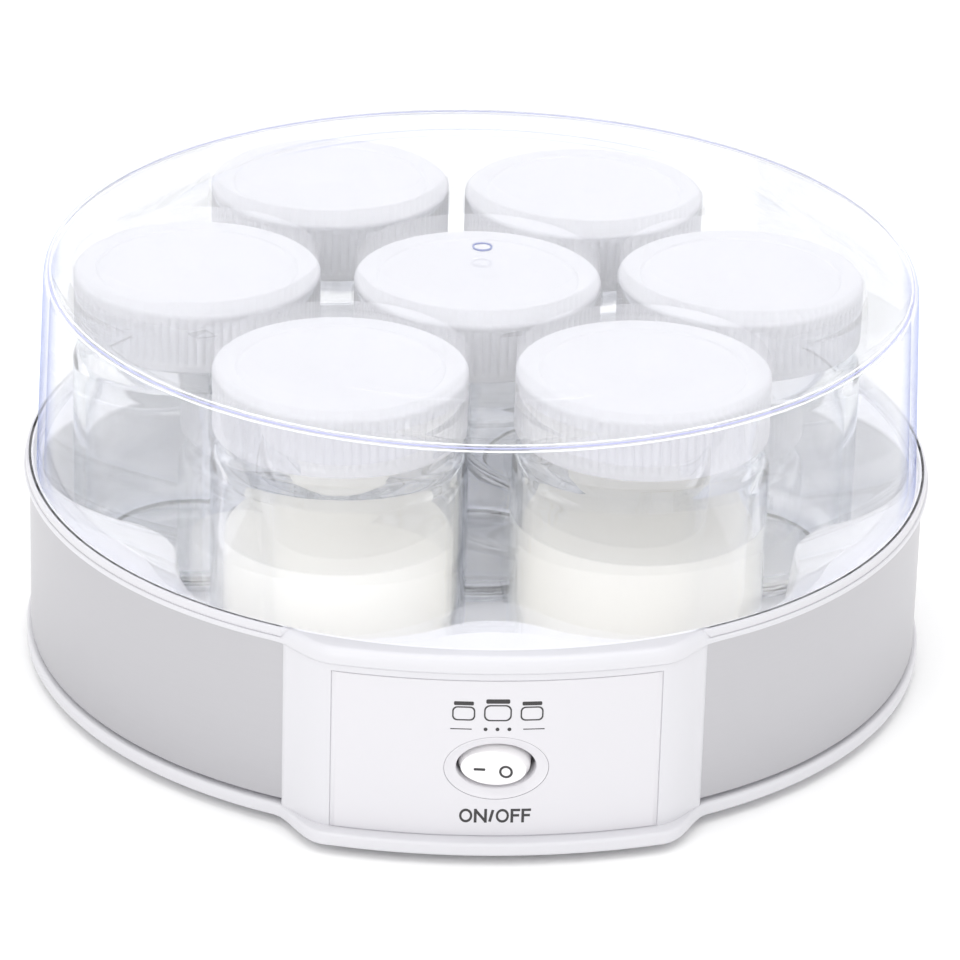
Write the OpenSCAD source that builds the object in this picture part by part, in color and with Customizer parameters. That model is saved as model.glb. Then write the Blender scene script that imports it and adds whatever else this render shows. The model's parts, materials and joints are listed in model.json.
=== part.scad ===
// Electric yogurt maker: round heated casing, lobed jar bowl, seven screw-lid jars and a clear cover.
// The origin is on the casing's axis, level with the underside of the feet.
// The control panel faces -Y and the cord inlet faces +Y.

/* [Casing] */
// Diameter over the casing's top rim
casing_d = 245; // [243:0.5:250]
// Height of the rim's top edge above the table
rim_h = 56.5; // [55:0.5:58]
// How far the middle of the top rim stands from the axis at the front
rim_front_r = 127; // [126:0.5:129]
// How far the middle of the foot lip stands from the axis at the front
foot_front_r = 130.6; // [129:0.2:132]
// Radius of the front panel's gentle curve
panel_curve_r = 158; // [140:2:200]
// Angle from the front at which the casing starts to flare outwards
flare_start = 27.4; // [25:0.2:30]
// Angle from the front at which the flare reaches the panel
flare_end = 19.4; // [17:0.2:21]

/* [Jar bowl] */
// Distance of the outer jars' places from the axis
jar_ring_r = 73; // [72:0.5:74]
// Radius of each lobe of the bowl, at deck height
lobe_r = 44.3; // [42:0.1:44.6]
// Radius that rounds the deck between two lobes
cusp_r = 23.5; // [16:0.5:26]
// Height of the bowl's floor, on which the jars stand
bowl_floor_z = 25; // [24:0.5:27]

/* [Jars] */
// Outer radius of a jar's body
jar_r = 33.4; // [32:0.1:33.6]
// Thickness of the glass in the body
glass_t = 3.3; // [2.5:0.1:3.6]
// Height of a jar without its lid
jar_h = 79.9; // [78:0.1:81]
// Outer radius of a screw lid
lid_r = 33; // [32.6:0.1:33.2]
// Height of a screw lid
lid_h = 16.4; // [14:0.2:17]
// Filling height above the table in the front left jar
fill_left_z = 63; // [40:0.5:78]
// Filling height above the table in the front right jar
fill_right_z = 66.7; // [40:0.5:78]

/* [Cover] */
// Outer radius of the cover at its lower edge
cover_foot_r = 119.1; // [118.8:0.1:119.2]
// Outer radius of the cover at its top edge
cover_top_r = 116.8; // [116:0.1:118]
// Height of the cover's top edge above the table
cover_edge_z = 111.4; // [111:0.2:114]
// Thickness of the cover's wall
cover_t = 2; // [1.6:0.1:2.2]
// Radius of the stepped disc in the cover's top
cover_disc_r = 92; // [85:1:100]
// How far the crown of the cover's top rises above its edge
cover_crown = 3.8; // [2.6:0.1:5]

/* [Switch] */
// Height of the switch's centre above the table
switch_z = 25.8; // [22:0.2:30]
// Width and height of the oval rocker
rocker_size = [18.2, 11];
// Angle through which the rocker tips between off and on
rocker_travel = 14; // [10:1:16]

/* [Cord inlet] */
// Radius of the hole that the cord comes through
cord_hole_r = 3.4; // [3:0.1:4]
// Height of the cord inlet above the table
cord_z = 18; // [17:0.5:20]

/* [Hidden] */
$fn = 96;
fit_gap = 0.3;
wall = 1.5;

casing_r = casing_d / 2;
rim_z = rim_h;
bead_z = rim_h - 3.9;
bead_h = 1.6;
deck_z = rim_h - 3.5;
deck_t = 2.2;
seat_z = deck_z + 0.7;
seat_in_r = 117.6;
rim_in_r = casing_r - 2.9;
panel_front_r = rim_front_r - 0.5;
panel_t = 2.5;
label_t = 0.5;
label_angle = 19;
label_gap = 0.25;

lip_z = [2.5, 6.2];
label_z = [lip_z[1] + label_gap, 50.4];
lip_r = casing_r - 0.2;
lip_in_r = 113;
ledge_in_r = 111.5;
ledge_z = 5;
shell_r = [casing_r - 3.3, casing_r - 2.1];
groove_r = [casing_r - 6, casing_r - 4.1];
groove_top_z = 7.6;
switch_gap = [28, 20];
shell_top_z = bead_z - 0.1;
steel_r = [shell_r[1] + 0.1, shell_r[1] + 0.6];
steel_z = [groove_top_z - 0.3, bead_z - 0.3];
steel_end_angle = flare_start - 1;

floor_t = 2.2;
cusp_c = jar_ring_r * cos(30) + sqrt(pow(lobe_r + cusp_r, 2) - pow(jar_ring_r / 2, 2));
lobe_half = atan2(cusp_c * sin(30), cusp_c * cos(30) - jar_ring_r);
boss_r = 106.5;
boss_post_r = 4;
boss_angles = [30, 150, 210, 330];
foot_ring_r = 98;
foot_angles = [45, 135, 225, 315];
foot_r = 8;
foot_stem_r = 2.5;
plate_z = [3, 5];
plate_r = lip_in_r - 0.4;
vent_x = 45;
vent_pitch = 8;
vent_slot = [26, 2.5];

heater_z = bowl_floor_z - floor_t;
heater_t = 1.5;
heater_r = 70;
heater_under_z = heater_z - heater_t;
element_r = 2.2;
element_ring_r = 48;
element_z = heater_under_z - element_r - 0.1;
element_half_gap = 15;
element_pin = [1.2, 9];
thermostat_cap = [9.5, 1.2];
thermostat_body = [8, 5.8];
thermostat_blade_x = 4;
fuse_y = -28;
fuse_r = 2.1;
block_corner = [-38, 78];
block_size = [24, 14, 11];
block_way_z = 6;

pivot_y = -(panel_front_r - 6);
rocker_depth = [2.5, 6.4];
well = [rocker_size[0] / 2 + 1, rocker_size[1] / 2 + 0.7];
housing = [well[0] + 0.9, well[1] + 0.8];
flange = [well[0] + 3.2, well[1] + 2.7];
flange_y = [-(panel_front_r - 1.2), -panel_front_r];
housing_back_y = -(panel_front_r - 18.5);
pin_r = 1;
pin_gap = 0.06;
blade_x = 6;
blade = [0.8, 5, 6.3];
wire_r = 1.1;
wire_low_z = 7.5;

bush_r = 6.3;
bush_hole_r = bush_r + 0.2;
bush_collar_r = 8.5;
bush_latch_r = 7.4;
bush_latch_y = shell_r[0] - 0.4;
bush_flange_t = 1.8;
bush_tail_r = [6.8, 5.2];
bush_way_r = 4.2;
bush_way_y = steel_r[1] + 0.5;
clamp_x = 9;
clamp_y = 107;
clamp_post_r = 3.5;
clamp_bar = [22, 7, 2];
screw_r = 1.25;

cover_edge_r = 3.7;
cover_step = 2.2;
nub_r = 3.2;
nub_h = 0.6;

neck_r = 31.2;
finish_r = 30.2;
thread_r = 30.9;
mouth_r = 27.4;
jar_top_z = bowl_floor_z + jar_h;
jar_in_r = jar_r - glass_t;
jar_base_t = 4.5;
shoulder_bends = [5, 9];
shoulder_z = jar_top_z - 24;
inner_bends = [5, 6];
inner_z = jar_top_z - 25;
liner_t = 0.9;
lid_top_t = 1.6;
lid_wall_t = 1.5;
lid_top_z = jar_top_z + liner_t + lid_top_t;

// Each jar's name, its place's angle, and how far it stands off that place: outwards, then round.
JARS = [
    ["centre", 0, 2 - jar_ring_r, 236],
    ["right", 0, -3.5, 0],
    ["back_right", 60, -5.5, 2.5],
    ["back_left", 120, 4, 0.5],
    ["left", 180, 3, -3],
    ["front_left", 240, -0.5, -2.5],
    ["front_right", 300, 0.5, 2]
];

// ---- Outline of the casing ----

function front_point(a, r) = [r * sin(a), -r * cos(a)];
function polar(r, a) = [r * cos(a), r * sin(a)];
function ease(t) = t * t * (3 - 2 * t);

// Distance of the gently curved front from the axis, at an angle a from the front.
function front_arc(a, front_r) =
    let (back = panel_curve_r - front_r)
    sqrt(pow(panel_curve_r, 2) - pow(back * sin(a), 2)) - back * cos(a);

// Distance of the outline from the axis: the front curve, the flare, then the round casing.
function outline_r(a, round_r, front_r) =
    a >= flare_start ? round_r
    : a <= flare_end ? front_arc(a, front_r)
    : round_r + (front_arc(flare_end, front_r) - round_r)
        * ease((flare_start - a) / (flare_start - flare_end));

module plan(round_r, front_r) {
    circle(r = round_r, $fn = 180);
    polygon(concat(
        [[0, 0]],
        [for (i = [-36 : 36])
            let (a = flare_start * i / 36)
            front_point(a, outline_r(abs(a), round_r, front_r))]
    ));
}

module front_wedge(half_angle) {
    reach = 200;
    polygon([[0, 0], front_point(-half_angle, reach), front_point(half_angle, reach)]);
}

module slab(z0, z1) {
    translate([0, 0, z0]) linear_extrude(z1 - z0) children();
}

module ring(r0, r1, z0, z1) {
    slab(z0, z1) difference() {
        circle(r = r1, $fn = 180);
        circle(r = r0, $fn = 180);
    }
}

// Children drawn in XY stand up in the XZ plane and reach from y0 forwards to y1.
module upright(y0, y1, z) {
    translate([0, y0, z]) rotate([90, 0, 0]) linear_extrude(y0 - y1) children();
}

module oval(half) {
    polygon([for (i = [0 : 47]) [half[0] * cos(i * 7.5), half[1] * sin(i * 7.5)]]);
}

function arc(c, r, a0, a1, n = 8) =
    [for (i = [0 : n]) c + r * [cos(a0 + (a1 - a0) * i / n), sin(a0 + (a1 - a0) * i / n)]];

// ---- Casing ----

module base_shell() color("whitesmoke") difference() {
    union() {
        slab(lip_z[0], lip_z[1]) difference() {
            plan(lip_r, foot_front_r);
            circle(r = lip_in_r, $fn = 180);
        }
        ring(ledge_in_r, lip_in_r + 1, ledge_z, lip_z[1]);
        ring(groove_r[0], groove_r[1], lip_z[1] - 0.5, groove_top_z);
        ring(groove_r[0], shell_r[1], groove_top_z, groove_top_z + wall - 0.1);
        ring(shell_r[0], shell_r[1], groove_top_z, shell_top_z);
    }
    upright(-100, -140, switch_z) square(switch_gap, center = true);
    upright(140, 100, cord_z) circle(r = bush_hole_r);
}

module bottom_plate() color("gainsboro") difference() {
    union() {
        slab(plate_z[0], plate_z[1]) circle(r = plate_r, $fn = 180);
        clamp_posts();
    }
    for (a = boss_angles) translate(polar(boss_r, a)) slab(0, 10) circle(r = screw_r + 0.45);
    for (a = foot_angles) translate(polar(foot_ring_r, a)) slab(0, 10) circle(r = foot_stem_r + 0.05);
    for (x = [-vent_x, vent_x], i = [-3 : 3])
        translate([x, vent_pitch * i]) slab(0, 10) square(vent_slot, center = true);
}

module clamp_posts() {
    for (x = [-clamp_x, clamp_x]) translate([x, clamp_y])
        slab(plate_z[1], cord_z - cord_hole_r) difference() {
            circle(r = clamp_post_r);
            circle(r = screw_r + 0.05);
        }
}

module rubber_feet() color("dimgray") for (a = foot_angles) translate(polar(foot_ring_r, a)) {
    bevel = 1;
    barb_z = plate_z[1] + 0.2;
    barb = [3.3, 1.8];
    cylinder(r1 = foot_r - bevel, r2 = foot_r, h = bevel);
    translate([0, 0, bevel]) cylinder(r = foot_r, h = plate_z[0] - bevel);
    slab(plate_z[0], barb_z) circle(r = foot_stem_r);
    translate([0, 0, barb_z]) cylinder(r1 = barb[0], r2 = barb[1], h = 2);
}

// A cross-head screw that points up, with the underside of its head at z 0.
module pan_screw(length) {
    head_h = 1.6;
    head_r = [2.4, 2.9];
    cross_size = [3.4, 0.8];
    cross_depth = 0.8;
    difference() {
        translate([0, 0, -head_h]) cylinder(r1 = head_r[0], r2 = head_r[1], h = head_h);
        slab(-head_h - 0.1, cross_depth - head_h) {
            square(cross_size, center = true);
            square([cross_size[1], cross_size[0]], center = true);
        }
    }
    cylinder(r = screw_r, h = length);
}

module base_screws() color("silver") for (a = boss_angles)
    translate(concat(polar(boss_r, a), plate_z[0])) pan_screw(12);

// Outline of the lobed bowl: six round lobes joined by rounded cusps that are tangent to them.
// Growing by g moves every wall outwards by g.
function bowl_outline(g) = [
    for (i = [0 : 5]) each concat(
        arc(polar(jar_ring_r, 60 * i), lobe_r + g, 60 * i - lobe_half, 60 * i + lobe_half, 16),
        inner_points(arc(
            polar(cusp_c, 60 * i + 30), cusp_r - g, 60 * i + lobe_half + 180, 60 * i + 240 - lobe_half, 8
        ))
    )
];

function inner_points(list) = [for (i = [1 : len(list) - 2]) list[i]];

// The bowl's volume between two heights, with its walls moved outwards by grow.
module bowl_volume(grow, z0, z1) {
    slab(z0, z1) polygon(bowl_outline(grow));
}

module jar_tray() color("white") difference() {
    union() {
        slab(deck_z - deck_t, bead_z) circle(r = shell_r[0] - 0.2, $fn = 180);
        slab(bead_z, deck_z) plan(casing_r, rim_front_r);
        slab(deck_z, bead_z + bead_h) difference() {
            plan(casing_r, rim_front_r);
            circle(r = rim_in_r, $fn = 180);
        }
        slab(bead_z + bead_h, rim_z) difference() {
            plan(casing_r - 0.5, rim_front_r - 0.5);
            circle(r = rim_in_r, $fn = 180);
        }
        ring(seat_in_r, rim_in_r + 1, deck_z, seat_z);
        bowl_volume(wall, heater_z, deck_z - deck_t + 1);
        for (a = boss_angles)
            translate(polar(boss_r, a)) slab(plate_z[1], deck_z - 1) circle(r = boss_post_r);
    }
    bowl_volume(0, bowl_floor_z, deck_z + 1.5);
    for (a = boss_angles)
        translate(polar(boss_r, a)) slab(plate_z[1] - 1, deck_z - 3) circle(r = screw_r);
}

module steel_band() color("lightgray") difference() {
    rotate([0, 0, 270 + steel_end_angle]) rotate_extrude(angle = 360 - 2 * steel_end_angle, $fn = 180)
        translate([steel_r[0], steel_z[0]]) square([steel_r[1] - steel_r[0], steel_z[1] - steel_z[0]]);
    upright(140, 100, cord_z) circle(r = bush_hole_r);
}

module control_panel() color("whitesmoke") difference() {
    slab(lip_z[1], bead_z) intersection() {
        difference() {
            plan(casing_r - 0.5, panel_front_r);
            plan(casing_r - 0.5 - panel_t, panel_front_r - panel_t);
            circle(r = steel_r[0], $fn = 180);
        }
        front_wedge(flare_start - 1.2);
    }
    slab(lip_z[1] - 1, label_z[1] + label_gap) intersection() {
        difference() {
            circle(r = casing_r + 20);
            plan(casing_r - 2, panel_front_r - label_t);
        }
        front_wedge(label_angle + 0.12);
    }
    upright(-100, -140, switch_z) oval(housing + [0.1, 0.1]);
    upright(flange_y[0] + 0.1, -140, switch_z) oval(flange + [0.1, 0.1]);
}

module label_plate() color("ghostwhite") difference() {
    slab(label_z[0], label_z[1]) intersection() {
        difference() {
            plan(casing_r - 1.5, panel_front_r);
            plan(casing_r - 2, panel_front_r - label_t);
        }
        front_wedge(label_angle);
    }
    upright(-100, -140, switch_z) oval(flange + [0.1, 0.1]);
}

// ---- Switch ----

module switch_housing() color("white") difference() {
    union() {
        upright(housing_back_y, flange_y[0], switch_z) oval(housing);
        upright(flange_y[0], flange_y[1], switch_z) oval(flange);
    }
    upright(housing_back_y - 1.5, -140, switch_z) oval(well);
    translate([0, pivot_y, switch_z - 12]) cylinder(r = pin_r, h = 24);
}

module switch_rocker() color("white")
    translate([0, pivot_y, switch_z]) rotate([0, 0, -rocker_travel / 2]) difference() {
        upright(rocker_depth[0], -rocker_depth[1], 0) oval(rocker_size / 2);
        translate([0, 0, -10]) cylinder(r = pin_r + pin_gap, h = 20);
    }

module switch_pin() color("silver")
    translate([0, pivot_y, switch_z - well[1] - 0.4]) cylinder(r = pin_r, h = 2 * well[1] + 0.8);

module switch_terminals() color("goldenrod") for (x = [-blade_x, blade_x])
    translate([x - blade[0] / 2, housing_back_y, switch_z - blade[2] / 2]) cube(blade);

// ---- Heating ----

module heater_plate() color("silver") slab(heater_under_z, heater_z) circle(r = heater_r, $fn = 120);

// A ring that is open at the back, with a connecting pin under each end.
module heater_element() color("darkgray") {
    rotate([0, 0, 90 + element_half_gap]) rotate_extrude(angle = 360 - 2 * element_half_gap, $fn = 120)
        translate([element_ring_r, element_z]) circle(r = element_r, $fn = 32);
    for (a = [90 - element_half_gap, 90 + element_half_gap])
        translate(concat(polar(element_ring_r, a), element_z - element_pin[1]))
            cylinder(r = element_pin[0], h = element_pin[1]);
}

// U-shaped straps that hold the ring against the heater plate.
module element_clamps() color("gray") for (a = [0, 150, 240]) rotate([0, 0, a]) {
    strap = [14, 8, 0.8];
    leg_t = 1;
    strap_z = element_z - element_r - 1;
    translate([element_ring_r - strap[0] / 2, -strap[1] / 2, strap_z]) {
        for (x = [0, strap[0] - leg_t]) translate([x, 0, 0]) cube([leg_t, strap[1], heater_under_z - strap_z]);
        cube(strap);
    }
}

// A disc thermostat: its cap touches the heater plate, and two blades point down.
module thermostat() color("sienna") {
    cap_z = heater_under_z - thermostat_cap[1];
    body_z = cap_z - thermostat_body[1];
    slab(cap_z, heater_under_z) circle(r = thermostat_cap[0]);
    slab(body_z, cap_z) circle(r = thermostat_body[0]);
    for (x = [-thermostat_blade_x, thermostat_blade_x])
        translate([x - blade[0] / 2, -blade[2] / 2, body_z - blade[1]]) cube([blade[0], blade[2], blade[1]]);
}

module thermal_fuse() color("tan") translate([0, fuse_y, heater_under_z - fuse_r - 0.1]) rotate([0, 90, 0]) {
    cylinder(r = fuse_r, h = 12, center = true);
    cylinder(r = 0.5, h = 30, center = true);
}

// Each way through the block has a screw hole from above.
module terminal_block() color("ivory")
    translate([block_corner[0], block_corner[1], plate_z[1]]) difference() {
        cube(block_size);
        for (x = [block_size[0] / 4, block_size[0] * 3 / 4]) {
            translate([x, block_size[1] / 2, 4]) cylinder(r = 2, h = block_size[2]);
            translate([x, -1, block_way_z]) rotate([-90, 0, 0]) cylinder(r = 1.5, h = block_size[1] + 2);
        }
    }

function unit(v) = v / norm(v);

// A route with each corner rounded off over a short length.
function rounded(route, cut = 5) = concat(
    [route[0]],
    [for (i = [1 : len(route) - 2])
        let (
            p = route[i], before = route[i - 1] - p, after = route[i + 1] - p,
            a = p + unit(before) * min(cut, norm(before) / 2.2),
            b = p + unit(after) * min(cut, norm(after) / 2.2)
        )
        each [for (t = [0 : 0.25 : 1]) (1 - t) * (1 - t) * a + 2 * t * (1 - t) * p + t * t * b]],
    [route[len(route) - 1]]
);

// A wire of eight-sided section along a route.
module wire(route) {
    sides = 8;
    path = rounded(route);
    last = len(path) - 1;
    rings = [
        for (i = [0 : last])
            let (
                along = unit(path[min(i + 1, last)] - path[max(i - 1, 0)]),
                side = unit(cross(along, [1, -0.5, 0.6])), up = cross(along, side)
            )
            each [for (k = [0 : sides - 1]) path[i] + wire_r * (side * cos(45 * k) + up * sin(45 * k))]
    ];
    polyhedron(points = rings, faces = concat(
        [[for (k = [0 : sides - 1]) k]],
        [[for (k = [0 : sides - 1]) (last + 1) * sides - 1 - k]],
        [for (i = [0 : last - 1], k = [0 : sides - 1])
            let (n = (k + 1) % sides)
            [i * sides + k, (i + 1) * sides + k, (i + 1) * sides + n, i * sides + n]]
    ));
}

module internal_wires() color("firebrick") {
    low = wire_low_z;
    pin_z = element_z - element_pin[1] - 0.2;
    tab_x = thermostat_blade_x;
    tab_z = heater_under_z - thermostat_cap[1] - thermostat_body[1] - blade[1] - 0.2;
    pin = polar(element_ring_r, 90 - element_half_gap);
    blade_y = housing_back_y + blade[1] + 0.2;
    drop_y = blade_y + 2.3;
    way_x = [for (share = [1, 3]) block_corner[0] + block_size[0] * share / 4];
    way_y = block_corner[1] + 6;
    way_z = plate_z[1] + block_way_z;
    wire([
        [way_x[0], way_y, way_z], [way_x[0], 70, way_z], [way_x[0] - 2, 62, low], [-62, 36, low],
        [-62, -40, low], [-blade_x, drop_y + 12, low], [-blade_x, drop_y, low + 2],
        [-blade_x, drop_y, switch_z], [-blade_x, blade_y, switch_z]
    ]);
    wire([
        [blade_x, blade_y, switch_z], [blade_x, drop_y, switch_z], [blade_x, drop_y, low + 2],
        [blade_x, drop_y + 12, low], [tab_x, -10, low], [tab_x, 0, low], [tab_x, 0, tab_z]
    ]);
    wire([
        [way_x[1], way_y, way_z], [way_x[1], 72, way_z], [way_x[1] + 1, 64, low], [-pin[0], 56, low],
        [-pin[0], pin[1], low], [-pin[0], pin[1], pin_z]
    ]);
    wire([
        [-tab_x, 0, tab_z], [-tab_x, 0, low], [-tab_x, 8, low], [pin[0], 38, low],
        [pin[0], pin[1], low], [pin[0], pin[1], pin_z]
    ]);
}

// ---- Cord inlet ----

module cord_bush() color("whitesmoke") difference() {
    collar_y = steel_r[1] + 0.1;
    tail_y = collar_y + bush_flange_t - 0.1;
    union() {
        upright(collar_y, shell_r[0] - 6, cord_z) circle(r = bush_r);
        upright(collar_y + bush_flange_t, collar_y, cord_z) circle(r = bush_collar_r);
        upright(bush_latch_y, bush_latch_y - bush_flange_t, cord_z) circle(r = bush_latch_r);
        translate([0, tail_y, cord_z]) rotate([-90, 0, 0])
            cylinder(r1 = bush_tail_r[0], r2 = bush_tail_r[1], h = foot_front_r - tail_y);
    }
    upright(140, 100, cord_z) circle(r = cord_hole_r);
    upright(bush_way_y, 100, cord_z) circle(r = bush_way_r);
}

// The bar that presses the cord onto the two posts of the bottom plate.
module cord_clamp() color("gainsboro") translate([0, clamp_y, cord_z + cord_hole_r]) difference() {
    translate([-clamp_bar[0] / 2, -clamp_bar[1] / 2, 0]) cube(clamp_bar);
    for (x = [-clamp_x, clamp_x]) translate([x, 0, -1]) cylinder(r = screw_r + 0.25, h = clamp_bar[2] + 2);
}

module clamp_screws() color("silver") for (x = [-clamp_x, clamp_x])
    translate([x, clamp_y, cord_z + cord_hole_r + clamp_bar[2]]) mirror([0, 0, 1]) pan_screw(14);

// ---- Cover ----

// Height of the cover's top surface above its edge, at a distance r from the axis.
function crown(r) = cover_crown - (cover_crown - cover_step) * pow(r / cover_disc_r, 2);

function cover_profile(inset) =
    let (edge = cover_edge_r, c = [cover_top_r - edge, cover_edge_z - edge])
    concat(
        [[cover_foot_r - inset, seat_z]],
        arc(c, edge - inset, 0, 90, 6),
        [[cover_disc_r + 1, cover_edge_z + 1 - inset]],
        [for (i = [8 : -1 : 0])
            let (r = (cover_disc_r - 0.4) * i / 8)
            [r, cover_edge_z + crown(r) - inset]]
    );

function reversed(list) = [for (i = [len(list) - 1 : -1 : 0]) list[i]];

module clear_cover() color([0.85, 0.9, 1, 0.3]) {
    rotate_extrude($fn = 180) polygon(concat(cover_profile(0), reversed(cover_profile(cover_t))));
    translate([0, 0, cover_edge_z + cover_crown - 0.5]) cylinder(r = nub_r, h = nub_h + 0.5);
}

// ---- Jars ----

// The bend from an upright wall at r0 into a narrower upright wall at r1, going up from z.
function wall_bend(r0, r1, bends, z) =
    let (
        steps = 6,
        turn = acos(1 - (r0 - r1) / (bends[0] + bends[1])),
        top_z = z + (bends[0] + bends[1]) * sin(turn)
    )
    concat(
        arc([r0 - bends[0], z], bends[0], 0, turn, steps),
        arc([r1 + bends[1], top_z], bends[1], 180 + turn - turn / steps, 180, steps - 1)
    );

function jar_profile() = concat(
    [[0, bowl_floor_z], [jar_r - 5, bowl_floor_z]],
    arc([jar_r - 5, bowl_floor_z + 5], 5, -60, 0, 5),
    wall_bend(jar_r, neck_r, shoulder_bends, shoulder_z),
    [
        [neck_r, jar_top_z - 14.6],
        [finish_r, jar_top_z - 13.8], [finish_r, jar_top_z - 11],
        [thread_r, jar_top_z - 10.4], [thread_r, jar_top_z - 9.6],
        [finish_r, jar_top_z - 9], [finish_r, jar_top_z - 6],
        [thread_r, jar_top_z - 5.4], [thread_r, jar_top_z - 4.6],
        [finish_r, jar_top_z - 4], [finish_r, jar_top_z - 0.8],
        [finish_r - 0.8, jar_top_z], [mouth_r + 0.8, jar_top_z], [mouth_r, jar_top_z - 0.8]
    ],
    reversed(wall_bend(jar_in_r, mouth_r, inner_bends, inner_z)),
    arc([jar_in_r - 4, bowl_floor_z + jar_base_t + 4], 4, 0, -90, 5),
    [[0, bowl_floor_z + jar_base_t]]
);

module jar() color([0.8, 0.9, 0.9, 0.4]) rotate_extrude() polygon(jar_profile());

module lid() color("white") rotate_extrude() polygon(concat(
    [
        [0, lid_top_z - lid_top_t], [lid_r - lid_wall_t, lid_top_z - lid_top_t],
        [lid_r - lid_wall_t, lid_top_z - lid_h], [lid_r, lid_top_z - lid_h]
    ],
    arc([lid_r - 1.3, lid_top_z - 1.3], 1.3, 0, 90, 4),
    [[lid_r - 6, lid_top_z], [lid_r - 6.4, lid_top_z - 0.4], [0, lid_top_z - 0.4]]
));

module liner() color("lightblue")
    slab(jar_top_z, jar_top_z + liner_t) circle(r = lid_r - lid_wall_t - fit_gap);

module yogurt(top_z) color("ivory") {
    r = jar_in_r - fit_gap;
    bottom_z = bowl_floor_z + jar_base_t + fit_gap;
    rotate_extrude() polygon(concat(
        [[0, bottom_z]],
        arc([r - 4, bottom_z + 4], 4, -90, 0, 5),
        [[r, top_z], [0, top_z]]
    ));
}

module at_jar(j) {
    translate(polar(jar_ring_r + j[2], j[1] + j[3])) children();
}

// ---- Nodes ----

base_shell();
bottom_plate();
rubber_feet();
base_screws();
jar_tray();
steel_band();
control_panel();
label_plate();
switch_housing();
switch_rocker();
switch_pin();
switch_terminals();
heater_plate();
heater_element();
element_clamps();
thermostat();
thermal_fuse();
terminal_block();
internal_wires();
cord_bush();
cord_clamp();
clamp_screws();
clear_cover();
at_jar(JARS[5]) yogurt(fill_left_z);  // yogurt_left
at_jar(JARS[6]) yogurt(fill_right_z);  // yogurt_right
for (j = JARS) {
    at_jar(j) jar();
    at_jar(j) lid();
    at_jar(j) liner();
}
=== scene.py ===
"""Looks for the round yogurt maker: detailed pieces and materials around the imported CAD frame.

Lengths in this file are millimetres until a mesh is made, and angles are radians unless a name says degrees.
"""

import json
import math

import bmesh
import bpy
from mathutils import Matrix, Vector


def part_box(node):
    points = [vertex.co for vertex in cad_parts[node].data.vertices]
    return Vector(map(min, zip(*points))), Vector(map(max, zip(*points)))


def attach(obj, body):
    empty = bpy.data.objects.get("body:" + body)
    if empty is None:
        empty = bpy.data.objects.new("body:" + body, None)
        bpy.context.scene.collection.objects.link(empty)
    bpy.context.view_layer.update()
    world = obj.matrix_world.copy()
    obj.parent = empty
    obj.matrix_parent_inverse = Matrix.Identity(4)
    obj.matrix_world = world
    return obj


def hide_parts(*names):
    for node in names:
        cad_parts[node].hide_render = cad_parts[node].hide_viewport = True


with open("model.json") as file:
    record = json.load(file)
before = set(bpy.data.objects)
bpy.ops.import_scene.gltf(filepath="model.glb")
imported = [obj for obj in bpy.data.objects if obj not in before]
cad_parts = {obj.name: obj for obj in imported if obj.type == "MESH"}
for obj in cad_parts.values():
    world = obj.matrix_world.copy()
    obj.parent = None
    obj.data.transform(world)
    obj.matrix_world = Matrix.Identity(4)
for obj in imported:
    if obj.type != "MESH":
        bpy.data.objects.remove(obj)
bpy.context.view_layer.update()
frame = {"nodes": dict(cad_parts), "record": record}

MM = 0.001
PLACES = ("centre", "right", "back_right", "back_left", "left", "front_left", "front_right")


def span(node):
    """Lowest and highest corner of a CAD node, in millimetres."""
    lo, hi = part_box(node)
    return Vector(lo) / MM, Vector(hi) / MM


# ---- Driving sizes, from the frame ----

TRAY_LO, TRAY_HI = span("jar_tray")
SHELL_LO, SHELL_HI = span("base_shell")
PANEL_LO, PANEL_HI = span("control_panel")
LABEL_LO, LABEL_HI = span("label_plate")
STEEL_LO, STEEL_HI = span("steel_band")
COVER_LO, COVER_HI = span("clear_cover")
SWITCH_LO, SWITCH_HI = span("switch_housing")
PIN_LO, PIN_HI = span("switch_pin")
BUSH_LO, BUSH_HI = span("cord_bush")
PLATE_TOP = span("heater_plate")[1].z

CASING_R = 122.5
RIM_Z = TRAY_HI.z
RIM_FRONT_R = -TRAY_LO.y
BEAD_Z = PANEL_HI.z
BEAD_H = 1.6
DECK_Z = RIM_Z - 3.5
SEAT_Z = COVER_LO.z
RIM_IN_R = CASING_R - 2.9
FLOOR_Z = span("jar_left")[0].z
FLOOR_T = FLOOR_Z - PLATE_TOP
DECK_T = 2.2

PANEL_CURVE_R = 158
FLARE_START = math.radians(27.4)
FLARE_END = math.radians(19.4)
PANEL_FRONT_R = -PANEL_LO.y
PANEL_END = math.radians(26.2)
PANEL_T = 2.5
LABEL_END = math.radians(19)
LABEL_GAP = 0.25
FILM_T = 0.32

LIP_R = CASING_R - 0.2
LIP_IN_R = 113
FOOT_FRONT_R = -SHELL_LO.y
SHELL_R = (CASING_R - 3.3, CASING_R - 2.1)
STEEL_R = (SHELL_R[1] + 0.1, SHELL_R[1] + 0.6)
STEEL_END = math.radians(26.4)

JAR_RING_R = 73
LOBE_R = 44.3
CUSP_R = 23.5
CUSP_C = JAR_RING_R * math.cos(math.radians(30)) + math.sqrt((LOBE_R + CUSP_R) ** 2 - (JAR_RING_R / 2) ** 2)
BOWL_WALL = 1.5
BOWL_DRAFT = 3
POST_RING_R = 106.5
POST_R = 4
POST_HOLE_R = 1.25
POST_FOOT_Z = 5

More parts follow.
